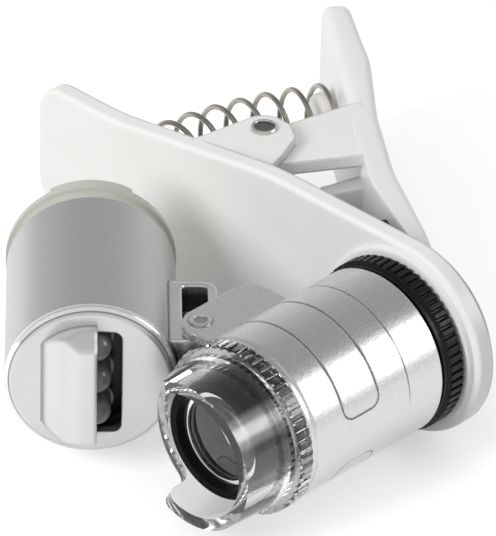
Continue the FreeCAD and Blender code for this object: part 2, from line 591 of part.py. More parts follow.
def build_back_jaw():
    body = new_body("back_jaw")
    plan = new_sketch(body, "XY_Plane", "bent_plate_plan")
    draw_polygon(plan, [
        ("jaw_tip_x", "jaw_tip_y"),
        ("jaw_bend_x", "jaw_bend_y"),
        ("jaw_elbow_x", "jaw_elbow_y"),
        ("grip_tip_x", "grip_tip_y"),
        ("grip_back_x", "grip_back_y"),
        ("back_grip_x", "back_grip_y"),
        ("back_hump_x", "back_hump_y"),
        ("back_elbow_x", "back_elbow_y"),
        ("jaw_tip_x * 0.1 - 2.0", "jaw_tip_y + jaw_tip_thickness + 0.1"),
        ("jaw_tip_x", "jaw_tip_y + jaw_tip_thickness"),
    ])
    pad(body, "bent_plate", plan, "2 * jaw_half_height", midplane=True)
    bends = [
        ("jaw_elbow_x", "jaw_elbow_y"),
        ("back_grip_x", "back_grip_y"),
        ("back_hump_x", "back_hump_y"),
        ("back_elbow_x", "back_elbow_y"),
    ]
    round_upright(body, "bends", bends, "jaw_blend * 0.6")
    trim = new_sketch(body, "XZ_Plane", "grip_trim", "-60")
    for sign in ("1", "-1"):
        draw_polygon(trim, [
            ("back_hump_x", f"{sign} * jaw_half_height"),
            ("back_grip_x - 4", f"{sign} * grip_half_height"),
            ("grip_tip_x - 3", f"{sign} * grip_half_height"),
            ("grip_tip_x - 3", f"{sign} * (jaw_half_height + 1)"),
            ("back_hump_x", f"{sign} * (jaw_half_height + 1)"),
        ])
    pocket(body, "narrow_grip", trim, "60", reversed_way=True)
    tip_x = number("jaw_tip_x")
    dress(body, "Fillet", "lens_end_corners",
          lambda edge: passes(edge, x=tip_x, z=number("jaw_half_height"))
          or passes(edge, x=tip_x, z=-number("jaw_half_height")), "jaw_tip_corner")
    middle_x = (number("grip_tip_x") + number("grip_back_x")) / 2
    dress(body, "Fillet", "grip_corners",
          lambda edge: passes(edge, x=middle_x, z=number("grip_half_height"))
          or passes(edge, x=middle_x, z=-number("grip_half_height")), "grip_corner")
    for side, low in (
        ("upper", "front_tab_top - front_tab_thickness - tab_gap - back_tab_thickness"),
        ("lower", "tab_gap + front_tab_thickness - front_tab_top"),
    ):
        slab(body, side + "_arm", [
            ("pivot_x - back_tab_radius * 0.93", "pivot_y + back_tab_radius * 0.35"),
            ("pivot_x", "pivot_y - back_tab_radius"),
            ("pivot_x + arm_heel", "pivot_y - back_tab_radius"),
            ("pivot_x + arm_bend_x", "pivot_y + arm_bend_y"),
            ("pivot_x + arm_root_x", "pivot_y + arm_root_y"),
            ("pivot_x + arm_top_x", "pivot_y + arm_top_y"),
            ("pivot_x", "pivot_y + arm_neck_y"),
        ], low, "back_tab_thickness")
        disc(body, side + "_arm_tip", "pivot_x", "pivot_y", "back_tab_radius", low, "back_tab_thickness")
    slab(body, "rib", [
        ("pivot_x + 6.7", "pivot_y + 1.7"),
        ("pivot_x + 6.7 + rib_thickness", "pivot_y + 1.3"),
        ("pivot_x + 9.0 + rib_thickness", "pivot_y + 6.2"),
        ("pivot_x + 8.4", "pivot_y + 7.6"),
    ], "-1 * rib_half_height", "2 * rib_half_height")
    drill(body, "pin_bore", "pivot_x", "pivot_y", "pin_radius + pin_clearance")
    seat = body.newObject("Sketcher::SketchObject", "spring_seat_circle")
    seat.AttachmentSupport = [(origin_plane(body, "XZ_Plane"), "")]
    seat.MapMode = "FlatFace"
    seat.setExpression("AttachmentOffset.Base.x", bound("spring_end_x"))
    seat.setExpression("AttachmentOffset.Base.z", bound("-1 * spring_end_y"))
    turn_back = FreeCAD.Rotation(FreeCAD.Vector(0, 1, 0), -number("spring_bend_angle"))
    seat.AttachmentOffset = FreeCAD.Placement(seat.AttachmentOffset.Base, turn_back)
    DOCUMENT.recompute()
    draw_circle(seat, "0", "0", "spring_seat_radius")
    foot = extrude(body, "Pad", "spring_seat", seat, "spring_seat_height")
    foot.setExpression("Length2", bound("seat_sink"))
    foot.SideType = "Two sides"
    DOCUMENT.recompute()
    return body


def headed_pin(name, x, y, radius, half, head, rim, height):
    """An upright pin with flat heads, each sunk inside a raised rim."""
    profile = [
        ("0", f"{half} + {height} * 0.4"),
        (f"{head} - {rim} - {height} * 0.3", f"{half} + {height} * 0.4"),
        (f"{head} - {rim}", f"{half} + {height}"),
        (f"{head} - {rim} * 0.4", f"{half} + {height}"),
        (head, f"{half} + {height} * 0.6"),
        (head, f"{half} + 0.01"),
        (radius, f"{half} + 0.01"),
    ]
    mirrored = [(place, f"-1 * ({along})") for place, along in reversed(profile)]
    return lathe(name, "Z", x, y, profile + mirrored)


def build_clip_spring():
    """A coil whose axis is an arc, swept along a curve through worked-out points."""
    bend = number("spring_bend_radius")
    radius = number("spring_radius")
    turns = number("spring_turns")
    whole = bend * math.radians(number("spring_bend_angle"))
    gap = number("spring_end_gap")
    steps = int(turns * 10)
    points = []
    for step in range(steps + 1):
        share = step / steps
        along = (gap + share * (whole - 2 * gap)) / bend
        phase = 2 * math.pi * turns * share
        across = bend - radius * math.cos(phase)
        points.append(FreeCAD.Vector(
            number("spring_seat_x") + bend - across * math.cos(along),
            across * math.sin(along),
            -radius * math.sin(phase),
        ))
    curve = Part.BSplineCurve()
    curve.interpolate(points)
    path = Part.Wire([curve.toShape()])
    start_way = curve.tangent(curve.FirstParameter)[0]
    wire_circle = Part.Circle(points[0], start_way, number("spring_wire") / 2)
    wire_section = Part.Wire([wire_circle.toShape()])
    coil = path.makePipeShell([wire_section], True, True)
    spring = DOCUMENT.addObject("Part::Feature", "clip_spring")
    spring.Label = "clip_spring"
    spring.Shape = coil
    return spring


def build_front_pad():
    return turned_body("front_pad", [
        ("front_pad_inner", "0"),
        ("front_pad_outer", "0"),
        ("front_pad_outer", "front_pad_thickness"),
        ("front_pad_inner", "front_pad_thickness"),
    ])


def build_back_pad():
    body = new_body("back_pad")
    slope = "atan((jaw_elbow_y - jaw_bend_y) / (jaw_bend_x - jaw_elbow_x))"
    slab(body, "pad", [
        ("back_pad_start", "back_pad_start_y"),
        ("jaw_bend_x", "jaw_bend_y"),
        ("back_pad_end", "jaw_tip_y + (jaw_bend_y - jaw_tip_y) * (jaw_tip_x - back_pad_end)"
         " / (jaw_tip_x - jaw_bend_x)"),
        ("back_pad_end", "jaw_tip_y - back_pad_thickness"),
        (f"jaw_bend_x - back_pad_thickness * sin({slope}) * 0.5", "jaw_bend_y - back_pad_thickness"),
        (f"back_pad_start - back_pad_thickness * sin({slope})",
         f"back_pad_start_y - back_pad_thickness * cos({slope})"),
    ], "-1 * back_pad_half_height", "2 * back_pad_half_height")
    half = number("back_pad_half_height")
    ends = (number("back_pad_start"), number("back_pad_end"))

    def corner(edge):
        middle = edge.valueAt((edge.FirstParameter + edge.LastParameter) / 2)
        near_end = min(abs(middle.x - end) for end in ends) < 0.6
        short = edge.Length < 1.3 * number("back_pad_thickness")
        return short and near_end and abs(abs(middle.z) - half) < 0.01

    dress(body, "Fillet", "pad_corners", corner, "back_pad_corner")
    return body


def build_barrel_housing():
    body = turned_body("barrel_housing", [
        ("spigot_bore", "-0.05"),
        ("spigot_radius", "-0.05"),
        ("spigot_radius", "-1 * barrel_rear"),
        ("barrel_radius - line_width", "-1 * barrel_rear"),
        ("barrel_radius", "-1 * (barrel_rear + line_width)"),
        ("barrel_radius", "-1 * (barrel_front - line_width)"),
        ("barrel_radius - 0.05", "-1 * barrel_front"),
        ("nose_radius", "-1 * barrel_front"),
        ("nose_radius", "-1 * nose_front"),
        ("spout_radius", "-1 * nose_front"),
        ("spout_radius", "-1 * spout_front"),
        ("barrel_bore", "-1 * spout_front"),
        ("barrel_bore", "-1 * barrel_bore_rear"),
        ("spigot_bore", "-1 * barrel_bore_rear"),
    ])
    for side, low in (("upper", "ear_top - ear_thickness"), ("lower", "-1 * ear_top")):
        slab(body, side + "_ear", [
            ("ear_root - barrel_radius", "-1 * ear_rear"),
            ("hinge_x - ear_rear_bend_x", "-1 * ear_rear"),
            ("hinge_x - ear_side", "-1 * ear_rear_bend"),
            ("hinge_x - ear_side", "hinge_y - ear_front_bend"),
            ("hinge_x - ear_front_bend_x", "hinge_y - ear_front"),
            ("ear_root - barrel_radius", "hinge_y - ear_front"),
        ], low, "ear_thickness")
    bends = [
        ("hinge_x - ear_rear_bend_x", "-1 * ear_rear"),
        ("hinge_x - ear_side", "-1 * ear_rear_bend"),
        ("hinge_x - ear_side", "hinge_y - ear_front_bend"),
        ("hinge_x - ear_front_bend_x", "hinge_y - ear_front"),
    ]
    round_upright(body, "ear_corners", bends, "ear_corner")
    drill(body, "rivet_hole", "hinge_x", "hinge_y", "rivet_radius + rivet_clearance")
    scored = body.newObject("Sketcher::SketchObject", "scored_band_lines")
    scored.AttachmentSupport = [(origin_plane(body, "XY_Plane"), "")]
    scored.MapMode = "FlatFace"
    start = FreeCAD.Rotation(FreeCAD.Vector(0, 1, 0), -number("band_end_angle"))
    scored.AttachmentOffset = FreeCAD.Placement(FreeCAD.Vector(), start)
    for place in ("front_line", "rear_line"):
        draw_polygon(scored, [
            ("barrel_radius - line_depth", f"-1 * {place} - line_width / 2"),
            ("barrel_radius + 1", f"-1 * {place} - line_width / 2"),
            ("barrel_radius + 1", f"-1 * {place} + line_width / 2"),
            ("barrel_radius - line_depth", f"-1 * {place} + line_width / 2"),
        ])
    DOCUMENT.recompute()
    before = body.Shape.Volume
    groove = body.newObject("PartDesign::Groove", "scored_band")
    groove.Profile = scored
    groove.ReferenceAxis = (scored, ["V_Axis"])
    groove.setExpression("Angle", bound("band_sweep"))
    groove.Reversed = True
    DOCUMENT.recompute()
    if body.Shape.Volume > before - 1e-6:
        raise RuntimeError("scored_band cuts nothing")
    return body


def build_focus_ring():
    body = turned_body("focus_ring", [
        ("focus_bore", "-1 * focus_rear"),
        ("focus_radius - 0.15", "-1 * focus_rear"),
        ("focus_radius", "-1 * (focus_rear + 0.15)"),
        ("focus_radius", "-1 * (focus_teeth_front - 0.15)"),
        ("focus_band_radius", "-1 * focus_teeth_front"),
        ("focus_band_radius", "-1 * focus_front"),
        ("focus_bore", "-1 * focus_front"),
    ])
    round_teeth(body, "focus_teeth", "focus_radius", "focus_tooth_depth", "focus_teeth",
                "focus_rear - 0.05", "focus_teeth_front")
    return body


def build_eyepiece_ring():
    return turned_body("eyepiece_ring", [
        ("eyepiece_bore", "-1 * eyepiece_depth"),
        ("eyepiece_radius", "-1 * eyepiece_depth"),
        ("eyepiece_radius", "0.01"),
        ("eyepiece_flange_radius", "0.01"),
        ("eyepiece_flange_radius", "eyepiece_flange * 0.6"),
        ("eyepiece_flange_radius - eyepiece_flange * 0.6", "eyepiece_flange"),
        ("eyepiece_bore", "eyepiece_flange"),
    ])


def lens(name, radius, edge, front):
    """A lens with two curved faces, its front rim at the given place on the axis."""
    body = new_body(name)
    sketch = new_sketch(body, "XY_Plane", name + "_profile")
    rim, thick, rise = number(radius), number(edge), number("lens_rise")
    low = number(front)
    high = low + thick
    curvature = (rim * rim + rise * rise) / (2 * rise)
    middle_rise = rise - curvature + math.sqrt(curvature ** 2 - rim ** 2 / 4)
    corner = [FreeCAD.Vector(rim, low, 0), FreeCAD.Vector(rim, high, 0)]
    apex = [FreeCAD.Vector(0, low - rise, 0), FreeCAD.Vector(0, high + rise, 0)]
    between = [
        FreeCAD.Vector(rim / 2, low - middle_rise, 0),
        FreeCAD.Vector(rim / 2, high + middle_rise, 0),
    ]
    sketch.addGeometry(Part.Arc(apex[0], between[0], corner[0]), False)
    sketch.addGeometry(Part.LineSegment(corner[0], corner[1]), False)
    sketch.addGeometry(Part.Arc(corner[1], between[1], apex[1]), False)
    sketch.addGeometry(Part.LineSegment(apex[1], apex[0]), False)
    hold_point(sketch, 1, 1, radius, front)
    hold_point(sketch, 1, 2, radius, f"{front} + {edge}")
    hold_point(sketch, 3, 1, "0", f"{front} + {edge} + lens_rise")
    hold_point(sketch, 3, 2, "0", f"{front} - lens_rise")
    turn(body, name + "_turned", sketch)
    return body


def build_lens_tube():
    profile = [
        ("tube_bore", "-1 * tube_rear"),
        ("tube_radius", "-1 * tube_rear"),
        ("tube_radius", "-1 * thread_first"),
    ]
    for index in range(int(number("thread_turns"))):
        start = f"(thread_first + {index} * thread_pitch)"
        profile += [
            ("tube_radius - thread_depth", f"-1 * ({start} + thread_pitch * 0.3)"),
            ("tube_radius", f"-1 * ({start} + thread_pitch * 0.6)"),
            ("tube_radius", f"-1 * ({start} + thread_pitch)"),
        ]
    profile += [
        ("tube_radius", "-1 * (tube_front - 0.2)"),
        ("tube_radius - 0.2", "-1 * tube_front"),
        ("tube_mouth_radius + 0.2", "-1 * tube_front"),
        ("tube_mouth_radius", "-1 * (tube_front - tube_mouth_depth)"),
        ("tube_mouth_radius", "-1 * (tube_front - tube_mouth_depth - 3)"),
        ("tube_bore", "-1 * (tube_front - tube_mouth_depth - 3)"),
    ]
    return turned_body("lens_tube", profile)


def build_lens_retainer():
    face = "tube_front - tube_mouth_depth"
    return turned_body("lens_retainer", [
        ("retainer_opening", f"-1 * ({face})"),
        ("tube_mouth_radius - fixed_clearance", f"-1 * ({face})"),
        ("tube_mouth_radius - fixed_clearance", f"-1 * ({face} - retainer_thickness)"),
        ("retainer_opening", f"-1 * ({face} - retainer_thickness)"),
    ])


def build_clear_foot():
    body = turned_body("clear_foot", [
        ("foot_bore", "-1 * foot_rear"),
        ("foot_collar_radius - 0.15", "-1 * foot_rear"),
        ("foot_collar_radius", "-1 * (foot_rear + 0.15)"),
        ("foot_collar_radius", "-1 * (foot_collar_front - 0.15)"),
        ("foot_collar_radius - 0.15", "-1 * foot_collar_front"),
        ("foot_root_radius", "-1 * foot_collar_front"),
        ("foot_tip_radius", "-1 * foot_front"),
        ("foot_inner", "-1 * foot_front"),
        ("foot_inner", "-1 * foot_bore_front"),
        ("foot_bore", "-1 * foot_bore_front"),
    ])
    notch = new_sketch(body, "XZ_Plane", "notch_sector", "notch_floor")
    reach = "foot_root_radius * 2"
    side = f"{reach} * sin(notch_half_angle * 1 deg)"
    back = f"-1 * {reach} * cos(notch_half_angle * 1 deg)"
    draw_polygon(notch, [
        ("0", "0"),
        (back, side),
        (f"-1 * {reach}", side),
        (f"-1 * {reach}", f"-1 * ({side})"),
        (back, f"-1 * ({side})"),
    ])
    pocket(body, "notch", notch, "foot_front - notch_floor + 1", reversed_way=True)
    lower_angle = math.radians(180 + number("notch_half_angle"))
    way = FreeCAD.Vector(math.cos(lower_angle), 0, math.sin(lower_angle))
    dress(body, "Fillet", "notch_blends", lambda edge: runs_along(edge, way, 1e-3), "notch_blend")
    round_teeth(body, "collar_teeth", "foot_collar_radius", "foot_tooth_depth", "foot_teeth",
                "foot_rear - 0.05", "foot_collar_front + 0.05")
    return body


def lathe(name, axis, x, y, profile):
    """A body turned about an upright axis that stands at (x, y)."""
    body = new_body(name)
    sketch = new_sketch(body, "XZ_Plane", name + "_profile")
    draw_polygon(sketch, profile)
    turn(body, name + "_turned", sketch)
    body.setExpression("Placement.Base.x", bound(x))
    body.setExpression("Placement.Base.y", bound(y))
    DOCUMENT.recompute()
    return body


def place_in_light(body):
    """Move a body from the light's frame into the frame of the whole object."""
    turned = FreeCAD.Rotation(Z_AXIS, number("light_turn"))
    body.Placement = FreeCAD.Placement(FreeCAD.Vector(number("light_x"), number("light_y"), 0), turned)
    body.setExpression("Placement.Base.x", bound("light_x"))
    body.setExpression("Placement.Base.y", bound("light_y"))
    DOCUMENT.recompute()
    return body


def build_light_housing():
    body = turned_body("light_housing", [
        ("light_bore", "light_front"),
        ("light_radius", "light_front"),
        ("light_radius", "light_rear - 0.15"),
        ("light_radius - 0.15", "light_rear"),
        ("light_bore", "light_rear"),
    ])
    return place_in_light(body)


def build_light_front_cap():
    body = turned_body("light_front_cap", [
        ("0", "-1 * rim_front"),
        ("rim_face_radius", "-1 * rim_front"),
        ("light_radius", "0"),
        ("light_radius", "light_front"),
        ("light_bore - fixed_clearance", "light_front"),
        ("light_bore - fixed_clearance", "cap_spigot_rear"),
        ("cap_spigot_bore", "cap_spigot_rear"),
        ("cap_spigot_bore", "face_thickness - rim_front"),
        ("0", "face_thickness - rim_front"),
    ])
    slot = new_sketch(body, "XZ_Plane", "slot_outline", "-2")
    draw_polygon(slot, [
        ("slot_left", "-1 * slot_half_height"),
        ("slot_right", "-1 * slot_half_height"),
        ("slot_right", "slot_half_height"),
        ("slot_left", "slot_half_height"),
    ])
    pocket(body, "slot", slot, "4", reversed_way=True)
    sides = (number("slot_left"), number("slot_right"))
    half = number("slot_half_height")

    def corner(edge):
        middle = edge.valueAt((edge.FirstParameter + edge.LastParameter) / 2)
        at_side = min(abs(middle.x - side) for side in sides) < 0.01
        return runs_along(edge, Y_AXIS) and at_side and abs(abs(middle.z) - half) < 0.01

    dress(body, "Fillet", "slot_corners", corner, "slot_corner")
    return place_in_light(body)


def build_light_slider():
    body = new_body("light_slider")
    base = "-1 * (rim_front + slider_gap)"
    crest = "-1 * (rim_front + slider_height)"
    inner = "-1 * (rim_front + slider_height - slider_wall)"
    slab(body, "wedge", [
        ("slider_left", base),
        ("slider_crest", crest),
        ("slider_right", crest),
        ("slider_right", base),
    ], "-1 * slider_radius", "2 * slider_radius")
    rim = new_sketch(body, "XZ_Plane", "round_base", "-2")
    draw_circle(rim, "0", "0", "slider_radius")
    draw_circle(rim, "0", "0", "slider_radius * 2")
    pocket(body, "round_ends", rim, "10", reversed_way=True)
    bevel = new_sketch(body, "YZ_Plane", "bevel_profile", "slider_left - 1")
    for sign in ("1", "-1"):
        draw_polygon(bevel, [
            (f"{crest} - 0.1", f"{sign} * (slider_flat - 0.06)"),
            (f"{crest} + slider_bevel", f"{sign} * (slider_radius + 0.1)"),
            (f"{crest} - 0.1", f"{sign} * (slider_radius + 0.1)"),
        ])
    pocket(body, "bevels", bevel, "slider_right - slider_left + 2", reversed_way=True)
    crest_place = number(crest)

    def ridge(edge):
        middle = edge.valueAt((edge.FirstParameter + edge.LastParameter) / 2)
        return abs(middle.y - crest_place) < 0.01 and middle.x < number("slider_right") - 0.01

    dress(body, "Fillet", "soft_ridges", ridge, "slider_soft")
    hollow = new_sketch(body, "XY_Plane", "hollow_outline", "-1 * (slider_flat - slider_wall)")
    draw_polygon(hollow, [
        ("slider_left + slider_shift", base + " + 0.01"),
        ("slider_crest + slider_shift * 0.4", inner),
        ("slider_right + 1", inner),
        ("slider_right + 1", base + " + 1"),
        ("slider_left + slider_shift", base + " + 1"),
    ])
    pocket(body, "hollow", hollow, "2 * (slider_flat - slider_wall)", reversed_way=True)
    wide = new_sketch(body, "XY_Plane", "wide_hollow_outline", "-1 * hollow_half_height")
    draw_polygon(wide, [
        ("hollow_start", base + " - hollow_step"),
        ("slider_right + 1", base + " - hollow_step"),
        ("slider_right + 1", base + " + 1"),
        ("hollow_start", base + " + 1"),
    ])
    pocket(body, "wide_hollow", wide, "2 * hollow_half_height", reversed_way=True)
    return place_in_light(body)


def build_lamp(name, height):
    """A lamp that points forwards, with a round dome and a flange at its back."""
    body = new_body(name)
    sketch = new_sketch(body, "XY_Plane", name + "_profile")
    radius = number("lamp_radius")
    centre = -number("lamp_centre")
    half = math.sqrt(0.5)
    tip = FreeCAD.Vector(0, centre - radius, 0)
    between = FreeCAD.Vector(radius * half, centre - radius * half, 0)
    side = FreeCAD.Vector(radius, centre, 0)
    flange_front = number("lamp_rear") - number("lamp_flange_height")
    wide = radius + number("lamp_flange")
    line = [side] + [FreeCAD.Vector(x, y, 0) for x, y in (
        (radius, flange_front), (wide, flange_front), (wide, number("lamp_rear")), (0, number("lamp_rear")))]
    line.append(tip)
    sketch.addGeometry(Part.Arc(tip, between, side), False)
    for here, there in zip(line, line[1:]):
        sketch.addGeometry(Part.LineSegment(here, there), False)
    hold_point(sketch, 0, 1, "0", "-1 * lamp_centre - lamp_radius")
    hold_point(sketch, 0, 2, "lamp_radius", "-1 * lamp_centre")
    turn(body, name + "_turned", sketch)
    place_in_light(body)
    body.setExpression("Placement.Base.x", bound("light_x + lamp_x * cos(light_turn * 1 deg)"))
    body.setExpression("Placement.Base.y", bound("light_y + lamp_x * sin(light_turn * 1 deg)"))
    body.setExpression("Placement.Base.z", bound(height))
    DOCUMENT.recompute()
    return body


def build_led_board():
    body = turned_body("led_board", [
        ("0", "board_front"),
        ("board_radius", "board_front"),
        ("board_radius", "board_front + board_thickness"),
        ("0", "board_front + board_thickness"),
    ])
    return place_in_light(body)


def build_cell_holder():
    body = turned_body("cell_holder", [
        ("0", "holder_front"),
        ("holder_radius", "holder_front"),
        ("holder_radius", "holder_rear"),
        ("cell_bore", "holder_rear"),
        ("cell_bore", "holder_front + holder_floor"),
        ("0", "holder_front + holder_floor"),
    ])
    return place_in_light(body)


def build_cell(index):
    front = f"(holder_front + holder_floor + 0.02 + {index} * (cell_thickness + cell_gap))"
    body = turned_body(f"cell_{index + 1}", [
        ("0", front),
        ("cell_radius - cell_rim * 1.6", front),
        ("cell_radius - cell_rim * 1.6", f"{front} + cell_rim"),
        ("cell_radius", f"{front} + cell_rim"),
        ("cell_radius", f"{front} + cell_thickness"),
        ("0", f"{front} + cell_thickness"),
    ])
    return place_in_light(body)


def build_cell_contact():
    tip = "(holder_front + holder_floor + 0.05 + 3 * (cell_thickness + cell_gap))"
    body = turned_body("cell_contact", [
        ("0", tip),
        ("contact_tip", tip),
        ("contact_radius", "cap_floor - 0.05 - contact_wall"),
        ("contact_radius + 0.8", "cap_floor - 0.05 - contact_wall"),
        ("contact_radius + 0.8", "cap_floor - 0.05"),
        ("contact_radius - contact_wall", "cap_floor - 0.05"),
        ("contact_tip - contact_wall", f"{tip} + contact_wall"),
        ("0", f"{tip} + contact_wall"),
    ])
    return place_in_light(body)


def build_battery_cap():
    body = turned_body("battery_cap", [
        ("0", "cap_floor"),
        ("cap_spigot_inner", "cap_floor"),
        ("cap_spigot_inner", "cap_spigot_front"),
        ("cap_spigot", "cap_spigot_front"),
        ("cap_spigot", "light_rear + cap_neck_gap"),
        ("cap_neck_radius", "light_rear + cap_neck_gap"),
        ("cap_neck_radius", "cap_neck_rear"),
        ("cap_rim_radius", "cap_neck_rear"),
        ("cap_rim_radius", "cap_rim_rear - 0.3"),
        ("cap_rim_radius - 0.3", "cap_rim_rear"),
        ("0", "cap_rim_rear"),
    ])
    bar = new_sketch(body, "XZ_Plane", "grip_bar_outline", "-1 * (cap_rim_rear + cap_bar_height)")
    draw_polygon(bar, [
        ("-1 * cap_bar_half_width", "-1 * cap_rim_radius"),
        ("cap_bar_half_width", "-1 * cap_rim_radius"),
        ("cap_bar_half_width", "cap_rim_radius"),
        ("-1 * cap_bar_half_width", "cap_rim_radius"),
    ])
    pad(body, "grip_bar", bar, "cap_bar_height")
    rim = new_sketch(body, "XZ_Plane", "bar_ends", "-1 * (cap_rim_rear + cap_bar_height + 1)")
    draw_circle(rim, "0", "0", "cap_rim_radius - 0.3")
    draw_circle(rim, "0", "0", "cap_rim_radius * 1.5")
    pocket(body, "round_bar_ends", rim, "cap_bar_height + 1", reversed_way=True)
    return place_in_light(body)


def build_light_bracket():
    body = new_body("light_bracket")
    slab(body, "block", [
        ("bracket_root", "bracket_front"),
        ("knuckle_x - knuckle_radius * 0.7", "bracket_front"),
        ("knuckle_x", "knuckle_y - knuckle_radius"),
        ("knuckle_x + knuckle_radius", "knuckle_y"),
        ("bracket_side", "bracket_shoulder"),
        ("bracket_side", "bracket_rear"),
        ("bracket_root", "bracket_rear"),
    ], "-1 * bracket_top", "2 * bracket_top")
    disc(body, "knuckle", "knuckle_x", "knuckle_y", "knuckle_radius", "-1 * bracket_top", "2 * bracket_top")
    corners = [("bracket_side", "bracket_rear")]
    round_upright(body, "rear_corner", corners, "bracket_corner")
    for side, low in (("upper", "bracket_top - recess_depth"), ("lower", "-1 * bracket_top")):
        recess = new_sketch(body, "XY_Plane", side + "_recess_outline", low)
        draw_polygon(recess, [
            ("recess_left", "recess_front"),
            ("recess_right", "recess_front"),
            ("recess_right", "recess_rear"),
            ("recess_left", "recess_rear"),
        ])
        pocket(body, side + "_recess", recess, "recess_depth", reversed_way=True)
    recess_corners = [
        ("recess_left", "recess_front"),
        ("recess_right", "recess_front"),
        ("recess_right", "recess_rear"),
        ("recess_left", "recess_rear"),
    ]
    round_upright(body, "recess_corners", recess_corners, "recess_corner")
    saddle = new_sketch(body, "XZ_Plane", "saddle_circle", "-20")
    draw_circle(saddle, "0", "0", "light_radius + fixed_clearance")
    pocket(body, "saddle", saddle, "40", reversed_way=True)
    drill(body, "rivet_bore", "knuckle_x", "knuckle_y", "rivet_radius + rivet_clearance")
    return place_in_light(body)



NODES = [
    build_front_jaw(),
    build_back_jaw(),
    headed_pin("jaw_pin", "pivot_x", "pivot_y", "pin_radius", "front_tab_top",
               "pin_head_radius", "pin_rim", "pin_head_height"),
    build_clip_spring(),
    build_front_pad(),
    build_back_pad(),
    build_barrel_housing(),
    headed_pin("hinge_rivet", "hinge_x", "hinge_y", "rivet_radius", "ear_top",
               "rivet_head_radius", "rivet_rim", "rivet_head_height"),
    build_focus_ring(),
    build_eyepiece_ring(),
    lens("eyepiece_lens", "eyepiece_lens_radius", "eyepiece_lens_edge",
         "-1 * (eyepiece_depth + lens_rise + eyepiece_lens_edge + 0.02)"),
    build_lens_tube(),
    lens("objective_lens", "lens_radius", "lens_edge",
         "-1 * (tube_front - tube_mouth_depth - retainer_thickness - lens_seat_gap)"),
    lens("rear_lens", "rear_lens_radius", "lens_edge", "-1 * rear_lens_place"),
    build_lens_retainer(),
    build_clear_foot(),
    build_light_housing(),
    build_light_bracket(),
    build_light_front_cap(),
    build_light_slider(),
    build_lamp("lamp_upper", "lamp_top_z"),
    build_lamp("lamp_middle", "lamp_middle_z"),
    build_lamp("lamp_lower", "lamp_low_z"),
    build_led_board(),
    build_cell_holder(),
    build_cell(0),
    build_cell(1),
    build_cell(2),
    build_cell_contact(),
    build_battery_cap(),
]
DOCUMENT.recompute()

for item in DOCUMENT.Objects:
    if "Invalid" in item.State or "Error" in item.State:
        raise RuntimeError(item.Name + " failed to build")
os.makedirs("parts", exist_ok=True)
for node in NODES:
    if node.Shape.isNull() or not node.Shape.isValid() or len(node.Shape.Solids) != 1:
        raise RuntimeError(node.Label + " is not one valid solid")
    node.Shape.exportStep(os.path.join("parts", node.Label + ".step"))
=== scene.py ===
import json
import math

import bmesh
import bpy
from mathutils import Matrix, Vector


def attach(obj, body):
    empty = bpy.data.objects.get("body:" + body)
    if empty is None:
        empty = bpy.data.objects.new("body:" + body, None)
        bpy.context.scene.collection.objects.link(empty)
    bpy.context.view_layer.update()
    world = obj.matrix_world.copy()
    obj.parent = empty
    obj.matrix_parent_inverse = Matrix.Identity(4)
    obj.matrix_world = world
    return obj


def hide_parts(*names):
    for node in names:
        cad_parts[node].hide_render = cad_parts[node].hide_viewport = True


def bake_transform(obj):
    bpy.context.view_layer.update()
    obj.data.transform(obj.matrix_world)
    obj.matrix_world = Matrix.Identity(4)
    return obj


# Looks for the clip-on magnifier. Lengths are in metres, in the part's own frame.

MM = 0.001

# Camera of the photograph
CAMERA_PLACE = Vector((351.847, -399.352, 348.757)) * MM
CAMERA_RIGHT = Vector((0.71950408, 0.69419266, 0.02025924))
CAMERA_UP = Vector((-0.38776458, 0.37736022, 0.84097437))
CAMERA_BACK = Vector((0.5761532, -0.61294031, 0.54069554))
LENS_MM = 420.317
SENSOR_MM = 36.0
CLIP_NEAR = 0.05
CLIP_FAR = 10.0

# Floor under the part, and the key light above its front left
FLOOR_HEIGHT = -10.9 * MM
FLOOR_SIZE = 4.0
FLOOR_GLOW = 0.5
STAGE_MIDDLE = Vector((-12.0, -8.0, 0.0)) * MM
KEY_POWER = 3.6
KEY_WAY = Vector((-0.1, -0.85, 0.5))
KEY_DISTANCE = 0.8
KEY_WIDTH = 0.28
KEY_HEIGHT = 0.36

# Brightness of the surround as seen, and as light that falls on the part, from the horizon up to the zenith
HORIZON_LEVEL = 0.7
ZENITH_LEVEL = 0.3
AMBIENT_HORIZON = 0.14
AMBIENT_ZENITH = 0.88
ZENITH_START = 20.0
ZENITH_END = 88.0

# Panels of the surround: direction, inner and outer angle, extra brightness
PANEL_WAY = (0.647, 0.613, 0.453)
PANELS = [
    (CAMERA_BACK, 20.0, 72.0, 0.3),
    (PANEL_WAY, 10.0, 24.0, 2.2),
    (PANEL_WAY, 4.0, 12.0, 5.0),
]

# Usual range of a noise value
NOISE_LOW = 0.3
NOISE_HIGH = 0.7

# Grain of the solid, clear and painted materials
BEVEL_SAMPLES = 8
CLOUD_SIZE = 6.0 * MM
CLEAR_SHADE = 0.97
FLAKE_SIZE = 0.14 * MM
FLAKE_RELIEF = 0.15
PEEL_SIZE = 0.6 * MM
PAINT_BUMP = 0.5
PAINT_EDGE = 0.3 * MM
PAINT_METALLIC = 0.85

# Heads of the jaw's pin and of the hinge rivet, each with painted shade in its middle
PIVOT = (-27.7 * MM, 6.34 * MM)
HINGE = (-10.74 * MM, -20.37 * MM)
PIN_SHADE_RADIUS = 1.15 * MM
RIVET_SHADE_RADIUS = 0.78 * MM
MIDDLE_SHADE_FADE = 0.1 * MM
HEAD_EDGE = 0.06 * MM

# Light: its face's sideways direction, middle and polished rim, whose lighter colour is a painted highlight,
# and the groove inside the rim
LIGHT_SIDE = (0.704634, 0.709571)
LIGHT_MIDDLE = -32.961 * MM
LIGHT_RIM = 8.28 * MM
LIGHT_RIM_FADE = 0.04 * MM
LIGHT_RIM_POLISH = 0.2
GROOVE_INNER = 0.04 * MM
GROOVE_OUTER = 0.1 * MM
GROOVE_SHADE = 0.7
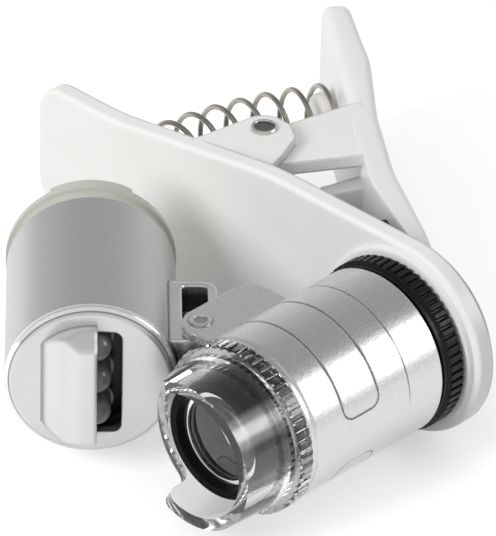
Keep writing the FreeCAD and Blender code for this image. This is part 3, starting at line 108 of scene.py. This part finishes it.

# Bracket: height of its rim, and the depths where the painted shade in its pocket starts and is full
BRACKET_TOP = 4.0 * MM
POCKET_SHADE_START = 0.4 * MM
POCKET_SHADE_FULL = 1.4 * MM

# Lines on the barrel: two tongues that face each other across its side, and one fading line
BARREL_RADIUS = 9.0 * MM
TONGUE_MIDDLE = 17.225 * MM
TONGUE_HALF_WIDTH = 2.525 * MM
TONGUE_CORNER = 1.3 * MM
TONGUE_UPPER_END = BARREL_RADIUS * math.radians(13.0)
TONGUE_LOWER_END = BARREL_RADIUS * math.radians(-23.0)
FINE_LINE = 10.5 * MM
FINE_LINE_END = BARREL_RADIUS * math.radians(-8.0)
FINE_LINE_FADE = BARREL_RADIUS * math.radians(25.0)
LINE_HALF_WIDTH = 0.15 * MM
LINE_CORE = 0.3
FINE_LINE_EDGE = 0.8
FINE_LINE_CORE = 0.2
LINE_DEPTH = 0.12 * MM
LINE_SHADE = 0.75
SIDE_INNER = 0.1 * MM
SIDE_OUTER = 0.2 * MM

# Shadow ring round the rivet, and the height where the dark spout starts
RIVET_RING = 1.24 * MM
RING_INNER = 0.05 * MM
RING_OUTER = 0.14 * MM
RING_SHADE = 0.5
SPOUT_START = -24.6 * MM
SPOUT_FADE = 0.05 * MM

# Clip spring: a coil on an arc from one jaw to the other
SPRING_SEAT_X = -41.2 * MM
SPRING_BEND_RADIUS = 46.0 * MM
SPRING_BEND = math.radians(31.8)
SPRING_RADIUS = 3.45 * MM
SPRING_WIRE_RADIUS = 0.3 * MM
SPRING_WIRE_STEPS = 5
SPRING_TURNS = 8.5
SPRING_END_GAP = 0.3 * MM
POINTS_PER_TURN = 48

# Back jaw: its finger grip's edges lie past the first height and reach past the second.
# Two lines along the middle of its bent plate, slope and start, have its outer face beyond them.
GRIP_START = 17.0 * MM
GRIP_END = 19.0 * MM
PLATE_LINES = ((-0.8, -0.5 * MM), (-0.53, 2.2 * MM))
RIM_ANGLE = math.radians(35.0)
RIM_ROUND = 0.9 * MM
RIM_STEPS = 5
FLAT_ANGLE = math.radians(0.5)
WELD_DISTANCE = 0.001 * MM
LARGEST_FACE = 4


def grey(level):
    return (level, level, level)


def new_material(name):
    """A material with its Principled shader, and the place on the object to wire it to."""
    material = bpy.data.materials.new(name)
    material.use_nodes = True
    tree = material.node_tree
    shader = tree.nodes["Principled BSDF"]
    place = tree.nodes.new("ShaderNodeTexCoord").outputs["Object"]
    return material, tree, shader, place


def opened(material):
    """A material's tree and shader, and the three coordinates of the place on the object."""
    tree = material.node_tree
    shader = tree.nodes["Principled BSDF"]
    place = tree.nodes.new("ShaderNodeTexCoord").outputs["Object"]
    apart = tree.nodes.new("ShaderNodeSeparateXYZ")
    tree.links.new(place, apart.inputs["Vector"])
    return tree, shader, apart.outputs


def noise(tree, place, size, detail=3.0, roughness=0.5):
    """Noise whose blobs are about this size."""
    node = tree.nodes.new("ShaderNodeTexNoise")
    node.inputs["Scale"].default_value = 1.0 / size
    node.inputs["Detail"].default_value = detail
    node.inputs["Roughness"].default_value = roughness
    tree.links.new(place, node.inputs["Vector"])
    return node.outputs["Fac"]


def map_range(tree, value, start, end, low, high):
    """A Map Range node from start..end to low..high."""
    node = tree.nodes.new("ShaderNodeMapRange")
    node.inputs["From Min"].default_value = start
    node.inputs["From Max"].default_value = end
    node.inputs["To Min"].default_value = low
    node.inputs["To Max"].default_value = high
    tree.links.new(value, node.inputs["Value"])
    return node


def spread(tree, value, low, high):
    """Map a noise value from its usual range to low..high."""
    return map_range(tree, value, NOISE_LOW, NOISE_HIGH, low, high).outputs["Result"]


def step_between(tree, value, start, end):
    """Smooth rise from 0 at start to 1 at end, or the reverse where end is below start."""
    low, high = (0.0, 1.0) if start < end else (1.0, 0.0)
    node = map_range(tree, value, min(start, end), max(start, end), low, high)
    node.interpolation_type = "SMOOTHSTEP"
    return node.outputs["Result"]


def colour_between(tree, factor, first, second):
    node = tree.nodes.new("ShaderNodeMix")
    node.data_type = "RGBA"
    node.inputs["A"].default_value = (*first, 1.0)
    node.inputs["B"].default_value = (*second, 1.0)
    tree.links.new(factor, node.inputs["Factor"])
    return node.outputs["Result"]


def blend_colour(tree, shader, factor, colour):
    """Blend the shader's colour towards another by a factor."""
    before = shader.inputs["Base Color"].links[0].from_socket
    node = tree.nodes.new("ShaderNodeMix")
    node.data_type = "RGBA"
    tree.links.new(factor, node.inputs["Factor"])
    tree.links.new(before, node.inputs["A"])
    node.inputs["B"].default_value = (*colour, 1.0)
    tree.links.new(node.outputs["Result"], shader.inputs["Base Color"])


def soft_edges(tree, radius):
    """The surface's direction, bent over its sharp edges as if they were rounded."""
    node = tree.nodes.new("ShaderNodeBevel")
    node.samples = BEVEL_SAMPLES
    node.inputs["Radius"].default_value = radius
    return node.outputs["Normal"]


def bump(tree, height, distance, strength=1.0, before=None):
    node = tree.nodes.new("ShaderNodeBump")
    node.inputs["Strength"].default_value = strength
    node.inputs["Distance"].default_value = distance
    tree.links.new(height, node.inputs["Height"])
    if before is not None:
        tree.links.new(before, node.inputs["Normal"])
    return node.outputs["Normal"]


def calculate(tree, operation, *values):
    """A Math node on sockets and plain numbers."""
    node = tree.nodes.new("ShaderNodeMath")
    node.operation = operation
    for socket, value in zip(node.inputs, values):
        if isinstance(value, (int, float)):
            socket.default_value = value
        else:
            tree.links.new(value, socket)
    return node.outputs[0]


def distance_from(tree, first, second, first_middle, second_middle):
    """Distance in a plane from a fixed point."""
    aside = calculate(tree, "SUBTRACT", first, first_middle)
    ahead = calculate(tree, "SUBTRACT", second, second_middle)
    aside_square = calculate(tree, "MULTIPLY", aside, aside)
    ahead_square = calculate(tree, "MULTIPLY", ahead, ahead)
    return calculate(tree, "SQRT", calculate(tree, "ADD", aside_square, ahead_square))


def distance_to(tree, value, middle):
    """How far a value is from another, either way."""
    return calculate(tree, "ABSOLUTE", calculate(tree, "SUBTRACT", value, middle))


def set_surface(tree, shader, grain, first, second, rough):
    """Give the shader a colour that a grain takes from the first to the second, and a roughness."""
    colour = colour_between(tree, spread(tree, grain, 0.0, 1.0), first, second)
    tree.links.new(colour, shader.inputs["Base Color"])
    tree.links.new(rough, shader.inputs["Roughness"])


def plain(name, first, second, rough, metallic=0.0, grain=0.4 * MM, relief=0.004 * MM, ior=1.5,
          edge=0.15 * MM):
    """A solid material with a faint grain in colour, roughness and surface."""
    material, tree, shader, place = new_material(name)
    fine = noise(tree, place, grain)
    broad = noise(tree, place, CLOUD_SIZE, 2.0)
    set_surface(tree, shader, broad, first, second, spread(tree, fine, *rough))
    tree.links.new(bump(tree, fine, relief, before=soft_edges(tree, edge)), shader.inputs["Normal"])
    shader.inputs["Metallic"].default_value = metallic
    shader.inputs["IOR"].default_value = ior
    return material


def see_through(name, tint, rough, ior=1.49, grain=2.0 * MM, relief=0.01 * MM, weight=1.0):
    """A clear moulded or ground material."""
    material, tree, shader, place = new_material(name)
    fine = noise(tree, place, grain, 2.0)
    darker = tuple(channel * CLEAR_SHADE for channel in tint)
    set_surface(tree, shader, fine, tint, darker, spread(tree, fine, *rough))
    tree.links.new(bump(tree, fine, relief), shader.inputs["Normal"])
    shader.inputs["Transmission Weight"].default_value = weight
    shader.inputs["IOR"].default_value = ior
    return material


def silver_paint(name, first, second, rough, relief):
    """Metallic paint: flakes in the colour and an orange-peel surface."""
    material, tree, shader, place = new_material(name)
    flakes = noise(tree, place, FLAKE_SIZE, 2.0, 0.6)
    peel = noise(tree, place, PEEL_SIZE, 2.0)
    set_surface(tree, shader, flakes, first, second, spread(tree, flakes, *rough))
    smooth = bump(tree, peel, relief, PAINT_BUMP, soft_edges(tree, PAINT_EDGE))
    surface = bump(tree, flakes, relief * FLAKE_RELIEF, PAINT_BUMP, smooth)
    tree.links.new(surface, shader.inputs["Normal"])
    shader.inputs["Metallic"].default_value = PAINT_METALLIC
    return material


def band_end(tree, along, around, limit, opening):
    """Distance from the outline of a rounded tongue that is scored round the barrel."""
    aside = calculate(tree, "ABSOLUTE", calculate(tree, "ADD", along, TONGUE_MIDDLE))
    aside = calculate(tree, "SUBTRACT", aside, TONGUE_HALF_WIDTH - TONGUE_CORNER)
    beyond = calculate(tree, "MULTIPLY", calculate(tree, "SUBTRACT", around, limit), -opening)
    beyond = calculate(tree, "ADD", beyond, TONGUE_CORNER)
    aside_square = calculate(tree, "POWER", calculate(tree, "MAXIMUM", aside, 0.0), 2.0)
    beyond_square = calculate(tree, "POWER", calculate(tree, "MAXIMUM", beyond, 0.0), 2.0)
    outside = calculate(tree, "SQRT", calculate(tree, "ADD", aside_square, beyond_square))
    inside = calculate(tree, "MINIMUM", calculate(tree, "MAXIMUM", aside, beyond), 0.0)
    return calculate(tree, "SUBTRACT", calculate(tree, "ADD", outside, inside), TONGUE_CORNER)


def headed_steel(name, middle, shade_radius, shade_colour, first, second):
    """Nickel pin with painted shade darkening the middle of its head."""
    material = plain(name, first, second, (0.14, 0.22), 1.0, edge=HEAD_EDGE)
    tree, shader, (across, along, _) = opened(material)
    reach = distance_from(tree, across, along, *middle)
    # Painted shade: the middle of the head is darkened in colour.
    middle_shade = step_between(tree, reach, shade_radius, shade_radius - MIDDLE_SHADE_FADE)
    blend_colour(tree, shader, middle_shade, shade_colour)
    return material


def face_metal():
    """Satin face of the light with a polished rim, painted lighter as a highlight, and a fine groove inside
    the rim.
    """
    material = plain("face_metal", (0.63, 0.63, 0.625), (0.67, 0.67, 0.665), (0.28, 0.36), 0.8,
                     relief=0.001 * MM, edge=0.35 * MM)
    tree, shader, (across, along, high) = opened(material)
    across_part = calculate(tree, "MULTIPLY", across, LIGHT_SIDE[0])
    along_part = calculate(tree, "MULTIPLY", along, LIGHT_SIDE[1])
    aside = calculate(tree, "ADD", across_part, along_part)
    reach = distance_from(tree, aside, high, LIGHT_MIDDLE, 0.0)
    rim = step_between(tree, reach, LIGHT_RIM - LIGHT_RIM_FADE, LIGHT_RIM + LIGHT_RIM_FADE)
    rough = shader.inputs["Roughness"].links[0].from_socket
    polish = calculate(tree, "MULTIPLY", rim, LIGHT_RIM_POLISH)
    tree.links.new(calculate(tree, "SUBTRACT", rough, polish), shader.inputs["Roughness"])
    # Painted highlight: the rim's colour is lightened; its lower roughness is real polish.
    blend_colour(tree, shader, rim, grey(0.84))
    gap = distance_to(tree, reach, LIGHT_RIM)
    groove = calculate(tree, "MULTIPLY", step_between(tree, gap, GROOVE_OUTER, GROOVE_INNER), GROOVE_SHADE)
    blend_colour(tree, shader, groove, grey(0.1))
    return material


def bracket_metal():
    """Cast metal with a smooth satin rim and a shiny pocket darkened by painted shade."""
    material = plain("bracket_metal", grey(0.7), grey(0.76), (0.16, 0.24), 0.9, edge=0.6 * MM)
    tree, shader, (_, _, high) = opened(material)
    height = calculate(tree, "ABSOLUTE", high)
    # Painted shade: the pocket's colour darkens with depth below the rim.
    pocket_shade = step_between(tree, height, BRACKET_TOP - POCKET_SHADE_START, BRACKET_TOP - POCKET_SHADE_FULL)
    blend_colour(tree, shader, pocket_shade, grey(0.17))
    return material


def barrel_lines(tree, across, along, high):
    """The scored lines: 1 along their middle, on the barrel's round side only."""
    angle = calculate(tree, "ARCTAN2", high, across)
    around = calculate(tree, "MULTIPLY", angle, BARREL_RADIUS)
    from_axis = distance_from(tree, across, high, 0.0, 0.0)
    off_side = distance_to(tree, from_axis, BARREL_RADIUS)
    on_side = step_between(tree, off_side, SIDE_OUTER, SIDE_INNER)
    tongues = []
    for limit, opening in ((TONGUE_UPPER_END, 1.0), (TONGUE_LOWER_END, -1.0)):
        gap = calculate(tree, "ABSOLUTE", band_end(tree, along, around, limit, opening))
        tongues.append(step_between(tree, gap, LINE_HALF_WIDTH, LINE_HALF_WIDTH * LINE_CORE))
    gap = calculate(tree, "ABSOLUTE", calculate(tree, "ADD", along, FINE_LINE))
    fine = step_between(tree, gap, LINE_HALF_WIDTH * FINE_LINE_EDGE, LINE_HALF_WIDTH * FINE_LINE_CORE)
    fade = step_between(tree, around, FINE_LINE_END, FINE_LINE_FADE)
    faded = calculate(tree, "MULTIPLY", fine, fade)
    lines = calculate(tree, "MAXIMUM", calculate(tree, "MAXIMUM", *tongues), faded)
    return calculate(tree, "MULTIPLY", lines, on_side)


def barrel_paint():
    """Silver paint with the barrel's scored lines, the ring round its rivet and its dark spout."""
    material = silver_paint("barrel_paint", grey(0.62), grey(0.72), (0.2, 0.3), 0.03 * MM)
    tree, shader, (across, along, high) = opened(material)
    line = barrel_lines(tree, across, along, high)
    normal = shader.inputs["Normal"].links[0].from_socket
    sunk = calculate(tree, "MULTIPLY", line, -1.0)
    tree.links.new(bump(tree, sunk, LINE_DEPTH, 1.0, normal), shader.inputs["Normal"])
    blend_colour(tree, shader, calculate(tree, "MULTIPLY", line, LINE_SHADE), grey(0.08))
    gap = distance_to(tree, distance_from(tree, across, along, *HINGE), RIVET_RING)
    ring = calculate(tree, "MULTIPLY", step_between(tree, gap, RING_OUTER, RING_INNER), RING_SHADE)
    blend_colour(tree, shader, ring, grey(0.12))
    spout = step_between(tree, along, SPOUT_START, SPOUT_START - SPOUT_FADE)
    blend_colour(tree, shader, spout, grey(0.02))
    return material


MATERIALS = {
    "white_plastic": plain("white_plastic", (0.85, 0.84, 0.825), (0.87, 0.862, 0.85), (0.28, 0.34),
                           grain=1.5 * MM, relief=0.002 * MM, edge=0.5 * MM),
    "barrel_paint": barrel_paint(),
    "light_paint": silver_paint("light_paint", grey(0.52), grey(0.62), (0.32, 0.42), 0.014 * MM),
    "chrome": plain("chrome", grey(0.78), grey(0.82), (0.08, 0.16), 1.0, relief=0.002 * MM),
    "satin_metal": plain("satin_metal", (0.68, 0.68, 0.675), (0.71, 0.71, 0.705), (0.28, 0.32), 0.62,
                         grain=1.5 * MM, relief=0.001 * MM, edge=0.9 * MM),
    "spring_steel": plain("spring_steel", (0.36, 0.34, 0.31), (0.46, 0.44, 0.4), (0.1, 0.2), 1.0,
                          edge=0.02 * MM),
    "pin_steel": headed_steel("pin_steel", PIVOT, PIN_SHADE_RADIUS, (0.2, 0.19, 0.18),
                              (0.6, 0.58, 0.55), (0.7, 0.68, 0.65)),
    "rivet_steel": headed_steel("rivet_steel", HINGE, RIVET_SHADE_RADIUS, grey(0.45), grey(0.74), grey(0.82)),
    "face_metal": face_metal(),
    "bracket_metal": bracket_metal(),
    "black_rubber": plain("black_rubber", grey(0.01), grey(0.016), (0.5, 0.65)),
    "black_plastic": plain("black_plastic", (0.006, 0.006, 0.007), (0.009, 0.009, 0.01), (0.3, 0.4), ior=1.3),
    "tube_plastic": plain("tube_plastic", grey(0.004), grey(0.006), (0.4, 0.5), ior=1.14),
    "clear_plastic": see_through("clear_plastic", (0.86, 0.865, 0.865), (0.0, 0.02), 1.55, relief=0.002 * MM),
    "lens_glass": see_through("lens_glass", (0.36, 0.37, 0.39), (0.0, 0.03), 1.6, relief=0.0005 * MM),
    "lamp_resin": see_through("lamp_resin", (0.34, 0.35, 0.32), (0.12, 0.2), 1.5, weight=0.45),
    "board_laminate": plain("board_laminate", (0.012, 0.013, 0.013), (0.02, 0.021, 0.021), (0.4, 0.5)),
    "holder_plastic": plain("holder_plastic", (0.6, 0.6, 0.57), (0.66, 0.66, 0.62), (0.35, 0.5)),
    "cell_steel": plain("cell_steel", grey(0.6), grey(0.66), (0.2, 0.3), 1.0),
    "smoke_plastic": see_through("smoke_plastic", (0.72, 0.74, 0.67), (0.3, 0.4), 1.49, weight=0.3),
}

NODE_MATERIALS = {
    "light_housing": "light_paint",
    "barrel_housing": "barrel_paint",
    "light_front_cap": "face_metal",
    "light_bracket": "bracket_metal",
    "jaw_pin": "pin_steel",
    "hinge_rivet": "rivet_steel",
    "lens_tube": "tube_plastic",
}


def dress_nodes(frame):
    """Give every CAD node the material of its slot, or its own."""
    slots = {entry["node"]: entry["material_slot"] for entry in frame["record"]["subparts"]}
    for name, node in frame["nodes"].items():
        material = MATERIALS[NODE_MATERIALS.get(name, slots[name])]
        node.data.materials.clear()
        node.data.materials.append(material)


def add_object(name, mesh, slot):
    """A new object with one material."""
    mesh.materials.clear()
    mesh.materials.append(MATERIALS[slot])
    mesh.shade_smooth()
    new_object = bpy.data.objects.new(name, mesh)
    bpy.context.scene.collection.objects.link(new_object)
    return new_object


def spring_axis(along):
    """Point on the spring's axis, and the direction across it, at a distance along the arc."""
    angle = along / SPRING_BEND_RADIUS
    across = Vector((-math.cos(angle), math.sin(angle), 0.0))
    middle = Vector((SPRING_SEAT_X + SPRING_BEND_RADIUS, 0.0, 0.0)) + across * SPRING_BEND_RADIUS
    return middle, across


def coil_mesh(length):
    """Round wire wound about the spring's axis, with closed ends."""
    curve = bpy.data.curves.new("spring_path", "CURVE")
    curve.dimensions = "3D"
    curve.bevel_depth = SPRING_WIRE_RADIUS
    curve.bevel_resolution = SPRING_WIRE_STEPS
    curve.use_fill_caps = True
    steps = int(SPRING_TURNS * POINTS_PER_TURN)
    path = curve.splines.new("POLY")
    path.points.add(steps)
    for step in range(steps + 1):
        share = step / steps
        along = SPRING_END_GAP + share * (length - 2 * SPRING_END_GAP)
        phase = 2 * math.pi * SPRING_TURNS * share
        middle, across = spring_axis(along)
        point = middle + across * SPRING_RADIUS * math.cos(phase)
        point.z = SPRING_RADIUS * math.sin(phase)
        path.points[step].co = (*point, 1.0)
    holder = bpy.data.objects.new("spring_path", curve)
    bpy.context.scene.collection.objects.link(holder)
    bpy.context.view_layer.update()
    mesh = bpy.data.meshes.new_from_object(holder.evaluated_get(bpy.context.evaluated_depsgraph_get()))
    bpy.data.objects.remove(holder)
    return mesh


def build_spring():
    """The clip's coil, which bends between the two jaws."""
    length = SPRING_BEND_RADIUS * SPRING_BEND
    spring = add_object("coil", coil_mesh(length), "spring_steel")
    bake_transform(spring)
    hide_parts("clip_spring")


def on_soft_rim(edge):
    """Whether an edge of the back jaw belongs to its rounded rim."""
    if not edge.is_manifold or edge.calc_face_angle() < RIM_ANGLE:
        return False
    points = [vertex.co for vertex in edge.verts]
    if min(point.y for point in points) > GRIP_START and max(point.y for point in points) > GRIP_END:
        return True
    return all(point.y > start + slope * point.x for point in points for slope, start in PLATE_LINES)


def build_back_jaw(frame):
    """The back jaw's own solid with its rim rounded as it is moulded."""
    shape = bmesh.new()
    shape.from_mesh(frame["nodes"]["back_jaw"].data)
    bmesh.ops.remove_doubles(shape, verts=shape.verts, dist=WELD_DISTANCE)
    bmesh.ops.dissolve_limit(shape, angle_limit=FLAT_ANGLE, verts=shape.verts, edges=shape.edges)
    rim = [edge for edge in shape.edges if on_soft_rim(edge)]
    bmesh.ops.bevel(shape, geom=rim, offset=RIM_ROUND, offset_type="OFFSET", segments=RIM_STEPS, profile=0.5,
                    affect="EDGES", clamp_overlap=False)
    wide = [face for face in shape.faces if len(face.verts) > LARGEST_FACE]
    bmesh.ops.triangulate(shape, faces=wide)
    mesh = bpy.data.meshes.new("soft_back_jaw")
    shape.to_mesh(mesh)
    shape.free()
    if "custom_normal" in mesh.attributes:
        mesh.attributes.remove(mesh.attributes["custom_normal"])
    jaw = add_object("soft_back_jaw", mesh, "white_plastic")
    mesh.set_sharp_from_angle(angle=RIM_ANGLE)
    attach(jaw, "back_clip")
    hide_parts("back_jaw")


def build_key():
    """The soft key light, which doesn't show in shiny surfaces."""
    light = bpy.data.lights.new("key", "AREA")
    light.shape = "RECTANGLE"
    light.size = KEY_WIDTH
    light.size_y = KEY_HEIGHT
    light.energy = KEY_POWER
    holder = bpy.data.objects.new("key", light)
    bpy.context.scene.collection.objects.link(holder)
    holder.location = STAGE_MIDDLE + KEY_WAY.normalized() * KEY_DISTANCE
    holder.rotation_euler = (STAGE_MIDDLE - holder.location).to_track_quat("-Z", "Y").to_euler()
    holder.visible_glossy = False


def seen_directly(tree):
    """1 for what the camera sees, also in metal or through glass, and 0 for light that falls on the part."""
    path = tree.nodes.new("ShaderNodeLightPath").outputs
    mirrored = calculate(tree, "MAXIMUM", path["Is Glossy Ray"], path["Is Transmission Ray"])
    return calculate(tree, "MAXIMUM", path["Is Camera Ray"], mirrored)


def build_floor():
    """A pale, matte paper under the part, which glows only where it is seen."""
    bpy.ops.mesh.primitive_plane_add(size=FLOOR_SIZE, location=(0, 0, FLOOR_HEIGHT))
    floor = bpy.context.object
    floor.name = "floor"
    material, tree, shader, place = new_material("floor_paper")
    grain = noise(tree, place, 3 * MM)
    tree.links.new(spread(tree, grain, 0.85, 0.95), shader.inputs["Roughness"])
    tree.links.new(bump(tree, grain, 0.01 * MM), shader.inputs["Normal"])
    tree.links.new(colour_between(tree, grain, grey(0.7), grey(0.72)), shader.inputs["Base Color"])
    shader.inputs["Specular IOR Level"].default_value = 0.0
    shader.inputs["Emission Color"].default_value = (1.0, 1.0, 1.0, 1.0)
    glow = calculate(tree, "MULTIPLY", seen_directly(tree), FLOOR_GLOW)
    tree.links.new(glow, shader.inputs["Emission Strength"])
    floor.data.materials.append(material)


def lobe(tree, way, centre, start, end):
    """1 round a direction, falling to 0 away from it, between two angles in degrees."""
    towards = tree.nodes.new("ShaderNodeVectorMath")
    towards.operation = "DOT_PRODUCT"
    towards.inputs[1].default_value = Vector(centre).normalized()
    tree.links.new(way, towards.inputs[0])
    outer = math.cos(math.radians(end))
    inner = math.cos(math.radians(start))
    return step_between(tree, towards.outputs["Value"], outer, inner)


def level_between(tree, level, horizon, zenith):
    """Brightness that goes from one value at the horizon to another overhead."""
    return calculate(tree, "ADD", horizon, calculate(tree, "MULTIPLY", level, zenith - horizon))


def build_surround():
    """A studio: bright on the camera's side, grey overhead and behind, with a bright panel at the right."""
    world = bpy.data.worlds.new("studio")
    bpy.context.scene.world = world
    world.use_nodes = True
    tree = world.node_tree
    background = tree.nodes["Background"]
    way = tree.nodes.new("ShaderNodeTexCoord").outputs["Generated"]
    background.inputs["Color"].default_value = (1.0, 1.0, 1.0, 1.0)
    level = lobe(tree, way, (0.0, 0.0, 1.0), ZENITH_START, ZENITH_END)
    strength = level_between(tree, level, HORIZON_LEVEL, ZENITH_LEVEL)
    for centre, start, end, extra in PANELS:
        panel = calculate(tree, "MULTIPLY", lobe(tree, way, centre, start, end), extra)
        strength = calculate(tree, "ADD", strength, panel)
    ambient = level_between(tree, level, AMBIENT_HORIZON, AMBIENT_ZENITH)
    seen = seen_directly(tree)
    unseen = calculate(tree, "SUBTRACT", 1.0, seen)
    seen_part = calculate(tree, "MULTIPLY", strength, seen)
    unseen_part = calculate(tree, "MULTIPLY", ambient, unseen)
    tree.links.new(calculate(tree, "ADD", seen_part, unseen_part), background.inputs["Strength"])


def build_camera():
    data = bpy.data.cameras.new("photo_camera")
    data.lens = LENS_MM
    data.sensor_width = SENSOR_MM
    data.sensor_fit = "AUTO"
    data.clip_start = CLIP_NEAR
    data.clip_end = CLIP_FAR
    holder = bpy.data.objects.new("photo_camera", data)
    bpy.context.scene.collection.objects.link(holder)
    matrix = Matrix.Identity(4)
    for column, axis in enumerate((CAMERA_RIGHT, CAMERA_UP, CAMERA_BACK)):
        for row in range(3):
            matrix[row][column] = axis[row]
    matrix.translation = CAMERA_PLACE
    holder.matrix_world = matrix
    bpy.context.scene.camera = holder


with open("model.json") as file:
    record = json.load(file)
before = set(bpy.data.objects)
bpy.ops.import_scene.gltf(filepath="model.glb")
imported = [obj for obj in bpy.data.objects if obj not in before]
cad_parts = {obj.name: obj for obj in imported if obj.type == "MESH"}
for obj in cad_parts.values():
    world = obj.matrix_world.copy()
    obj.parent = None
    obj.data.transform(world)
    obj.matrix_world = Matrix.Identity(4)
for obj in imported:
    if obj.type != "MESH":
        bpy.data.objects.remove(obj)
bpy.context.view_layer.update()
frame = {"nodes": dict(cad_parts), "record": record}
dress_nodes(frame)
build_spring()
build_back_jaw(frame)
build_floor()
build_surround()
build_key()
build_camera()
bpy.context.scene.view_settings.view_transform = "Standard"
